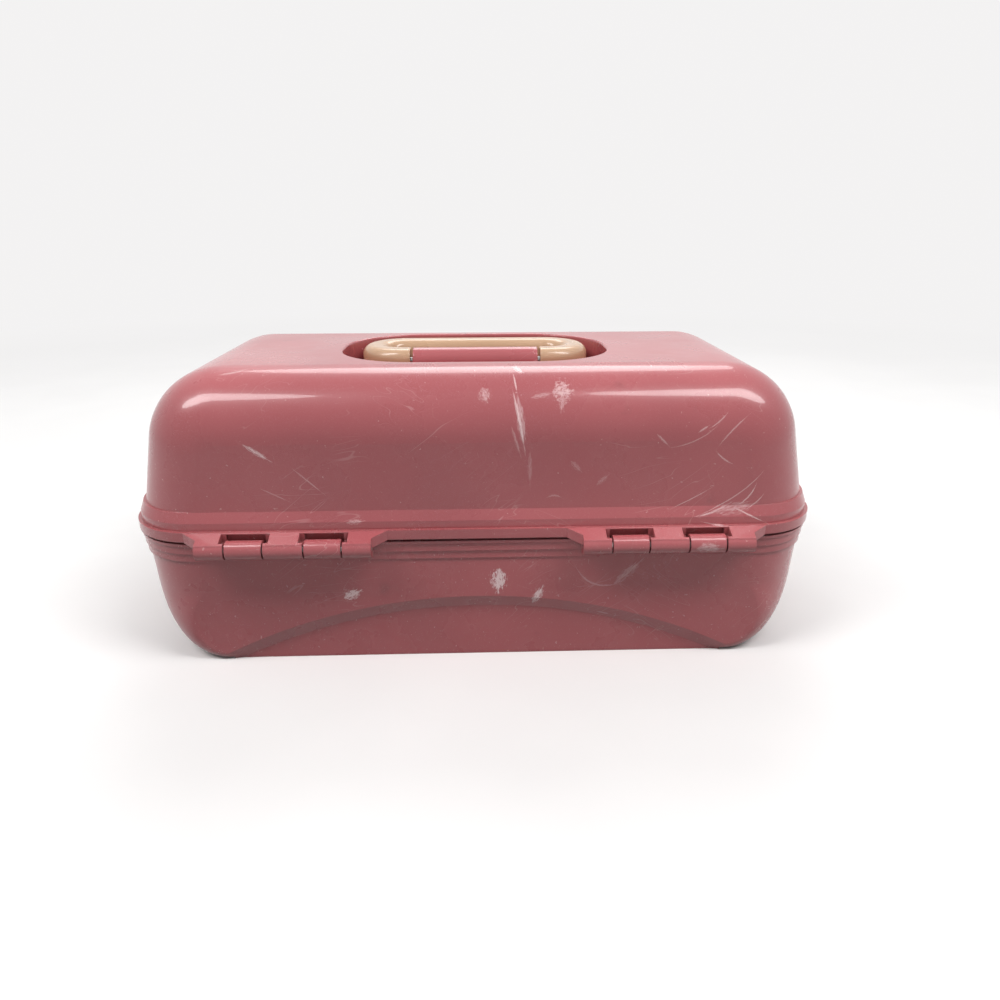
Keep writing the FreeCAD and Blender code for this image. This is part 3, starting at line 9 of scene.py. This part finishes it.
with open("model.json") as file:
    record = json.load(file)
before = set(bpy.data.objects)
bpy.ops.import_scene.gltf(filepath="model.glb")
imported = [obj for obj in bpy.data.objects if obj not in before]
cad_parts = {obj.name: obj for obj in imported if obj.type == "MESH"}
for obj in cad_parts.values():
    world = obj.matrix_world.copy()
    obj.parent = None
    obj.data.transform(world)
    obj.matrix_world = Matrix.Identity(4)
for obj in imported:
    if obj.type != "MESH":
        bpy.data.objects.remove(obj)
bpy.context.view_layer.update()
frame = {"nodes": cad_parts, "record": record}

# Colours, linear. A plastic has its body colour, a deeper one for its clouding and its worn one.
PINKS = ((0.45, 0.106, 0.116), (0.38, 0.084, 0.094), (0.88, 0.66, 0.66))
CREAMS = ((0.56, 0.355, 0.22), (0.49, 0.30, 0.175), (0.86, 0.72, 0.56))
# Dark grime specks, and also the colour of the painted shade in grooves, creases and between parts.
GRIME_AND_SHADE = (0.10, 0.040, 0.035)
STEEL = (0.62, 0.61, 0.60)
STEEL_DULL = (0.42, 0.41, 0.40)
SILVER = (0.90, 0.91, 0.91)
SILVER_SMUDGED = (0.74, 0.75, 0.75)
FLOOR_SEEN = (0.84, 0.83, 0.82)
FLOOR_BOUNCE = (0.13, 0.12, 0.12)
BACKDROP = (0.90, 0.89, 0.89)

# The camera: where it stands, and how it is turned.
CAMERA_AT = (0.0004, -0.4521, 0.2301)
CAMERA_YAW = radians(1.80)
CAMERA_DOWN = radians(20.74)
CAMERA_ROLL = radians(-0.13)
SENSOR = 36.0
LENS = 27.09

# Light and floor: how high the lamps aim, the even light, half the floor's side, and how far out
# the floor starts and ends passing into the backdrop.
AIM_HIGH = 0.08
WORLD_TINT = (0.96, 0.98, 1.0)
WORLD_LIGHT = 0.32
FLOOR_HALF = 3.0
FADE_START = 0.35
FADE_END = 1.6

# How far a mark's fibres run past its given ends, and where the marks stop, from the hinge side.
FRAY = 0.0008
MARKS_TO_Y = -0.050
MARKS_FADE = 0.005

# A mark on the hinge side: where it starts and ends in the reference picture, and a third point
# that it bends through, each given as points across and down, then its half width in
# metres and how strong it is.
PICTURE = 1000.0
Mark = namedtuple("Mark", "start end wide strength bend", defaults=(None,))
LID_MARKS = (
    # the tall scuff and the fibres beside it
    Mark((512.1, 388), (525, 452.8), 0.0011, 1.2, (518.2, 415)),
    Mark((513.3, 374), (517, 392), 0.0006, 0.9),
    Mark((517, 392), (524.5, 450), 0.0026, 0.60),
    Mark((514, 367.5), (523, 372.3), 0.0012, 0.9),
    Mark((511, 425), (521, 457), 0.0010, 0.40),
    Mark((530, 450), (530, 486), 0.0014, 0.30),
    # fuzzy patches beside the scuff
    Mark((552, 393), (573, 391), 0.0062, 0.60),
    Mark((563, 394), (561, 412), 0.0018, 0.45),
    Mark((482, 388), (487, 402), 0.0040, 0.45),
    Mark((530, 398), (553, 393), 0.0014, 0.35),
    Mark((570.8, 461), (581.4, 471.7), 0.0018, 0.30),
    Mark((596.6, 485), (608.7, 474.7), 0.0016, 0.30),
    Mark((546, 499), (562, 499), 0.0008, 0.40, (553, 495.5)),
    # the web of scratches near the right corner
    Mark((692.8, 516.7), (767.7, 464.7), 0.0005, 0.75, (735, 496)),
    Mark((735.4, 505.6), (756.3, 481.7), 0.0006, 1.0, (749, 496)),
    Mark((730.3, 505.6), (766.9, 523), 0.0006, 1.0),
    Mark((692.8, 516.7), (734, 500), 0.0009, 0.8, (714, 511.5)),
    Mark((712, 513), (757, 503), 0.0042, 0.40),
    Mark((745.6, 509), (764, 492.8), 0.0005, 0.8, (755, 503)),
    Mark((699.6, 521), (728.6, 524.3), 0.0004, 0.7, (714, 524)),
    Mark((667.2, 510.7), (715, 485.5), 0.0004, 0.8, (693, 498)),
    # thin scratches above it
    Mark((698.8, 432.4), (709, 425.5), 0.0007, 0.7),
    Mark((708, 429), (728.6, 411), 0.0005, 0.6, (719, 422)),
    Mark((665.5, 447.7), (721.7, 420.4), 0.0005, 0.45, (697, 440)),
    Mark((716.6, 449.4), (750.7, 413.6), 0.0006, 0.6, (727, 436)),
    Mark((715.8, 450.2), (733.7, 463.9), 0.0006, 0.7, (724, 459)),
    Mark((657, 434), (669, 446), 0.0008, 0.55),
    # the frayed scratch on the left
    Mark((241, 444), (270.8, 461.6), 0.0015, 1.0),
    Mark((290, 467), (325, 495), 0.0005, 0.55),
    Mark((258.5, 488), (290, 502), 0.0005, 0.45),
    Mark((216, 375), (250, 368), 0.0005, 0.5, (232, 373)),
    Mark((346, 523), (364, 521), 0.0018, 0.55),
)
BASE_MARKS = (
    # three patches under the rim
    Mark((344, 598.5), (361, 590.5), 0.0036, 1.7),
    Mark((499, 567.5), (498, 592.5), 0.0052, 1.8),
    Mark((532, 603), (543, 586), 0.0028, 1.6),
    # the bowed scratch, the smear at its end and a scratch below them
    Mark((574.7, 561.6), (625, 580), 0.0008, 0.55, (592, 583)),
    Mark((612, 586), (643, 559), 0.0030, 0.50),
    Mark((596, 611), (610, 614), 0.0006, 0.45),
    # the rub on a knuckle
    Mark((696, 549), (723, 549), 0.0045, 0.60),
)


class Finish:
    """A material's node tree, built up a step at a time."""

    def __init__(self, name):
        self.material = bpy.data.materials.new(name)
        self.material.use_nodes = True
        self.tree = self.material.node_tree
        self.shader = self.tree.nodes["Principled BSDF"]
        self.place = self.add("ShaderNodeTexCoord").outputs["Object"]

    def add(self, kind, **settings):
        node = self.tree.nodes.new(kind)
        for name, value in settings.items():
            setattr(node, name, value)
        return node

    def feed(self, socket, source):
        """Sets a socket to a plain value, or links an output to it."""
        if isinstance(source, bpy.types.NodeSocket):
            self.tree.links.new(source, socket)
        else:
            socket.default_value = source

    def math(self, operation, first, second=0.0, clamp=False):
        node = self.add("ShaderNodeMath", operation=operation, use_clamp=clamp)
        self.feed(node.inputs[0], first)
        self.feed(node.inputs[1], second)
        return node.outputs[0]

    def moved(self, at=(0, 0, 0), turn=(0, 0, 0), stretch=(1, 1, 1)):
        """The place seen from another origin, turned and stretched."""
        node = self.add("ShaderNodeMapping", vector_type="TEXTURE")
        self.feed(node.inputs["Vector"], self.place)
        node.inputs["Location"].default_value = at
        node.inputs["Rotation"].default_value = turn
        node.inputs["Scale"].default_value = stretch
        return node.outputs["Vector"]

    def noise(self, scale, detail=3.0, where=None, distortion=0.0):
        node = self.add("ShaderNodeTexNoise")
        self.feed(node.inputs["Vector"], where or self.place)
        node.inputs["Scale"].default_value = scale
        node.inputs["Detail"].default_value = detail
        node.inputs["Distortion"].default_value = distortion
        return node.outputs["Fac"]

    def ramp(self, value, low, high, start=0.0, end=1.0):
        """A smooth rise from start to end as the value goes from low to high."""
        node = self.add("ShaderNodeMapRange", interpolation_type="SMOOTHSTEP")
        self.feed(node.inputs["Value"], value)
        for name, number in (("From Min", low), ("From Max", high), ("To Min", start), ("To Max", end)):
            node.inputs[name].default_value = number
        return node.outputs["Result"]

    def mixed(self, share, first, second):
        node = self.add("ShaderNodeMix", data_type="RGBA")
        self.feed(node.inputs["Factor"], share)
        for socket, source in ((node.inputs[6], first), (node.inputs[7], second)):
            self.feed(socket, source if isinstance(source, bpy.types.NodeSocket) else (*source, 1.0))
        return node.outputs[2]

    def set(self, name, source):
        self.feed(self.shader.inputs[name], source)

    def parts(self, vector, *axes):
        node = self.add("ShaderNodeSeparateXYZ")
        self.feed(node.inputs[0], vector)
        return [node.outputs[axis] for axis in axes]

    def bump(self, height, strength, distance, edge=0.0):
        """Fine relief, on edges that look rounded by the radius edge."""
        node = self.add("ShaderNodeBump")
        node.inputs["Strength"].default_value = strength
        node.inputs["Distance"].default_value = distance
        self.feed(node.inputs["Height"], height)
        if edge:
            soft = self.add("ShaderNodeBevel", samples=4)
            soft.inputs["Radius"].default_value = edge
            self.feed(node.inputs["Normal"], soft.outputs["Normal"])
        self.set("Normal", node.outputs["Normal"])


def hairlines(finish, turn, patch_scale, patch_low):
    """Fine scratches along one direction, only in some patches."""
    where = finish.moved(turn=(0, radians(-turn), 0), stretch=(0.05, 0.007, 0.007))
    away = finish.math("ABSOLUTE", finish.math("SUBTRACT", finish.noise(1.0, 1.0, where, 0.2), 0.5))
    line = finish.ramp(away, 0.0, 0.008, 1.0, 0.0)
    patch = finish.ramp(finish.noise(patch_scale, 3.0), patch_low, patch_low + 0.08)
    return finish.math("MULTIPLY", line, patch)


def camera_axes():
    """The camera's own right, up and forward directions."""
    level = cos(CAMERA_DOWN)
    ahead = Vector((sin(CAMERA_YAW) * level, cos(CAMERA_YAW) * level, -sin(CAMERA_DOWN)))
    right = Vector((cos(CAMERA_YAW), -sin(CAMERA_YAW), 0))
    above = right.cross(ahead)
    side = right * cos(CAMERA_ROLL) + above * sin(CAMERA_ROLL)
    top = above * cos(CAMERA_ROLL) - right * sin(CAMERA_ROLL)
    return side, top, ahead


def skin_of(node):
    """A shell's surface, to look for marks on."""
    mesh = frame["nodes"][node].data
    corners = [corner.co for corner in mesh.vertices]
    return BVHTree.FromPolygons(corners, [tuple(face.vertices) for face in mesh.polygons])


def seen_on(skin, point):
    """Where the camera sees a picture point on a shell, as its x and its z."""
    side, top, ahead = camera_axes()
    across, down = [(value / PICTURE - 0.5) * SENSOR / LENS for value in point]
    sight = (ahead + side * across - top * down).normalized()
    hit = skin.ray_cast(Vector(CAMERA_AT), sight)[0]
    return Vector((hit.x, hit.z))


def mark_wear(finish, skin, mark):
    """How strongly one mark covers a point: full in its middle, frayed at its sides and ends."""
    start, end = seen_on(skin, mark.start), seen_on(skin, mark.end)
    chord = end - start
    middle = (start + end) / 2
    aside = Vector((-chord.y, chord.x)).normalized()
    bow = (seen_on(skin, mark.bend) - middle).dot(aside) if mark.bend else 0.0
    middle += aside * bow
    long = chord.length / 2 + FRAY
    place = (middle.x, 0, middle.y)
    tilt = (0, -atan2(chord.y, chord.x), 0)
    local = finish.moved(place, tilt, (long, 1.0, mark.wide))
    along, across = finish.parts(local, "X", "Z")
    along = finish.math("MULTIPLY", along, along)
    across = finish.math("ADD", across, finish.math("MULTIPLY", along, bow / mark.wide))
    spread = finish.math("ADD", along, finish.math("ABSOLUTE", across))
    cover = finish.ramp(spread, 0.0, 1.6, 1.0, 0.0)
    fibres = finish.moved(place, tilt, (0.28 * long, 1.0, 0.16 * mark.wide))
    fray = finish.math("MULTIPLY", finish.noise(1.0, 4.0, fibres, 0.8), 2.4)
    worn = finish.ramp(finish.math("ADD", cover, fray), 1.55, 2.5)
    return finish.math("MULTIPLY", worn, mark.strength)


def marked(finish, skin, marks):
    """All marks of a shell, on its hinge side only."""
    wear = 0.0
    for mark in marks:
        wear = finish.math("MAXIMUM", wear, mark_wear(finish, skin, mark))
    depth = finish.parts(finish.place, "Y")[0]
    near = finish.ramp(depth, MARKS_TO_Y - MARKS_FADE, MARKS_TO_Y, 1.0, 0.0)
    return finish.math("MULTIPLY", wear, near, True)


def glossy_plastic(name, colour, deep, worn, shell=None, marks=()):
    """Glossy moulded plastic with hairlines, flecks, dark grime specks, painted shade in its grooves and
    a shell's marks.
    """
    finish = Finish(name)
    cloud = finish.ramp(finish.noise(7.0, 2.0), 0.35, 0.65)
    body = finish.mixed(cloud, deep, colour)
    # Painted shade: ambient occlusion darkens the colour in grooves, creases and between parts. The
    # noise specks mixed in with it are real grime.
    groove = finish.add("ShaderNodeAmbientOcclusion", samples=4)
    groove.inputs["Distance"].default_value = 0.004
    painted_shade = finish.ramp(groove.outputs["AO"], 0.2, 0.75, 0.55, 0.0)
    speck = finish.ramp(finish.noise(60.0, 5.0), 0.66, 0.84, 0.0, 0.25)
    body = finish.mixed(finish.math("MAXIMUM", painted_shade, speck), body, GRIME_AND_SHADE)
    wear = finish.math("MULTIPLY", hairlines(finish, 38, 16.0, 0.56), 0.18)
    for turn, patch in ((-34, 13.0), (8, 19.0)):
        lines = finish.math("MULTIPLY", hairlines(finish, turn, patch, 0.58), 0.15)
        wear = finish.math("MAXIMUM", wear, lines)
    scored = wear
    flecks = finish.ramp(finish.noise(420.0, 2.0), 0.71, 0.77)
    wear = finish.math("MAXIMUM", wear, finish.math("MULTIPLY", flecks, 0.30))
    if marks:
        wear = finish.math("MAXIMUM", wear, marked(finish, skin_of(shell), marks))
    finish.set("Base Color", finish.mixed(wear, body, worn))
    haze = finish.ramp(finish.noise(24.0, 4.0), 0.3, 0.7, 0.24, 0.34)
    finish.set("Roughness", finish.math("ADD", haze, finish.math("MULTIPLY", wear, 0.35), True))
    finish.set("Specular IOR Level", 0.35)
    finish.set("Coat Weight", 0.45)
    finish.set("Coat Roughness", 0.06)
    skin = finish.math("MULTIPLY", finish.noise(420.0, 2.0), 0.25)
    finish.bump(finish.math("SUBTRACT", skin, scored), 0.10, 0.0002, edge=0.0005)
    return finish.material


def brushed_metal(name, colour, dull):
    """Steel with a drawn grain and darker handling marks."""
    finish = Finish(name)
    grain = finish.noise(30.0, 4.0, finish.moved(stretch=(1.0, 1.0, 0.03)))
    smear = finish.ramp(finish.noise(45.0, 3.0), 0.4, 0.7)
    finish.set("Base Color", finish.mixed(smear, colour, dull))
    finish.set("Metallic", 1.0)
    finish.set("Roughness", finish.ramp(grain, 0.3, 0.7, 0.24, 0.46))
    finish.bump(grain, 0.15, 0.0001)
    return finish.material


def mirror(name):
    """Silvered glass with faint smudges."""
    finish = Finish(name)
    smudge = finish.ramp(finish.noise(18.0, 5.0, distortion=1.2), 0.5, 0.8)
    finish.set("Base Color", finish.mixed(smudge, SILVER, SILVER_SMUDGED))
    finish.set("Metallic", 1.0)
    finish.set("Roughness", finish.math("MULTIPLY", smudge, 0.12))
    return finish.material


def seen_directly(tree):
    """1 for what the camera sees, itself, in gloss or through glass, and 0 for light on other things."""
    path = tree.nodes.new("ShaderNodeLightPath")
    seen = path.outputs["Is Camera Ray"]
    for name in ("Is Glossy Ray", "Is Transmission Ray"):
        either = tree.nodes.new("ShaderNodeMath")
        either.operation = "MAXIMUM"
        tree.links.new(seen, either.inputs[0])
        tree.links.new(path.outputs[name], either.inputs[1])
        seen = either.outputs[0]
    return seen


def blended(tree, share, near, far, output):
    """Sends two shaders, mixed by share, to a tree's output."""
    mix = tree.nodes.new("ShaderNodeMixShader")
    for socket, source in zip(mix.inputs, (share, near, far)):
        tree.links.new(source, socket)
    tree.links.new(mix.outputs[0], tree.nodes[output].inputs["Surface"])


def pale_floor(name):
    """A matt floor, pale to the eye, that passes into the backdrop far from the object."""
    finish = Finish(name)
    seen = seen_directly(finish.tree)
    tone = finish.ramp(finish.noise(5.0, 3.0), 0.3, 0.7, 0.0, 0.06)
    pale = finish.mixed(tone, FLOOR_SEEN, FLOOR_BOUNCE)
    finish.set("Base Color", finish.mixed(seen, FLOOR_BOUNCE, pale))
    finish.set("Roughness", 0.75)
    reach = finish.add("ShaderNodeVectorMath", operation="LENGTH")
    finish.feed(reach.inputs[0], finish.place)
    far = finish.ramp(reach.outputs["Value"], FADE_START, FADE_END)
    backdrop = finish.add("ShaderNodeEmission")
    backdrop.inputs["Color"].default_value = (*BACKDROP, 1.0)
    share = finish.math("MULTIPLY", far, seen)
    blended(finish.tree, share, finish.shader.outputs[0], backdrop.outputs[0], "Material Output")
    return finish.material


def soft_world():
    """Even light on the object, and a pale backdrop for the camera and for what reflects."""
    world = bpy.data.worlds.new("studio")
    bpy.context.scene.world = world
    world.use_nodes = True
    tree = world.node_tree
    light = tree.nodes["Background"]
    light.inputs["Color"].default_value = (*WORLD_TINT, 1.0)
    light.inputs["Strength"].default_value = WORLD_LIGHT
    backdrop = tree.nodes.new("ShaderNodeBackground")
    backdrop.inputs["Color"].default_value = (*BACKDROP, 1.0)
    blended(tree, seen_directly(tree), light.outputs[0], backdrop.outputs[0], "World Output")


def lamp(name, at, wide, tall, power):
    """A soft box whose long side is level with the case's, tipped down towards the case."""
    data = bpy.data.lights.new(name, "AREA")
    data.shape = "ELLIPSE"
    data.size = wide
    data.size_y = tall
    data.energy = power
    piece = bpy.data.objects.new(name, data)
    piece.location = at
    down = Vector((0, -at[1], AIM_HIGH - at[2]))
    piece.rotation_euler = down.to_track_quat("-Z", "Y").to_euler()
    bpy.context.scene.collection.objects.link(piece)


def camera():
    """The reference picture's point of view."""
    data = bpy.data.cameras.new("camera")
    data.sensor_width = SENSOR
    data.lens = LENS
    piece = bpy.data.objects.new("camera", data)
    bpy.context.scene.collection.objects.link(piece)
    side, top, ahead = camera_axes()
    turn = Matrix((side, top, -ahead)).transposed()
    piece.matrix_world = Matrix.Translation(CAMERA_AT) @ turn.to_4x4()
    bpy.context.scene.camera = piece


def floor():
    """One flat square under the object."""
    corners = [(FLOOR_HALF * x, FLOOR_HALF * y, 0) for x, y in ((-1, -1), (1, -1), (1, 1), (-1, 1))]
    mesh = bpy.data.meshes.new("floor")
    mesh.from_pydata(corners, [], [(0, 1, 2, 3)])
    mesh.materials.append(pale_floor("floor"))
    piece = bpy.data.objects.new("floor", mesh)
    bpy.context.scene.collection.objects.link(piece)


def dress(finishes):
    """Gives every CAD node the finish of its slot."""
    for row in frame["record"]["subparts"]:
        node = frame["nodes"][row["node"]]
        node.data.materials.clear()
        node.data.materials.append(finishes[row["material_slot"]])


bpy.context.scene.view_settings.view_transform = "Standard"
camera()
soft_world()
lamp("left_box", (-1.10, -0.50, 1.40), 1.50, 0.45, 20.0)
lamp("right_box", (1.12, -0.50, 1.40), 1.75, 0.45, 22.0)
lamp("front_box", (0.10, 1.30, 1.50), 1.60, 0.8, 14.0)
floor()

cream = glossy_plastic("cream_plastic", *CREAMS)
steel = brushed_metal("steel", STEEL, STEEL_DULL)
dress({
    "base_shell": glossy_plastic("base_plastic", *PINKS, "base_shell", BASE_MARKS),
    "lid_shell": glossy_plastic("lid_plastic", *PINKS, "lid_shell", LID_MARKS),
    "handle_loop": cream,
    "latch": glossy_plastic("latch_plastic", *PINKS),
    "mirror_frame": cream,
    "mirror_glass": mirror("mirror_glass"),
    "upper_tray": cream,
    "lower_tray": cream,
    "arm": steel,
    "pin": steel,
})
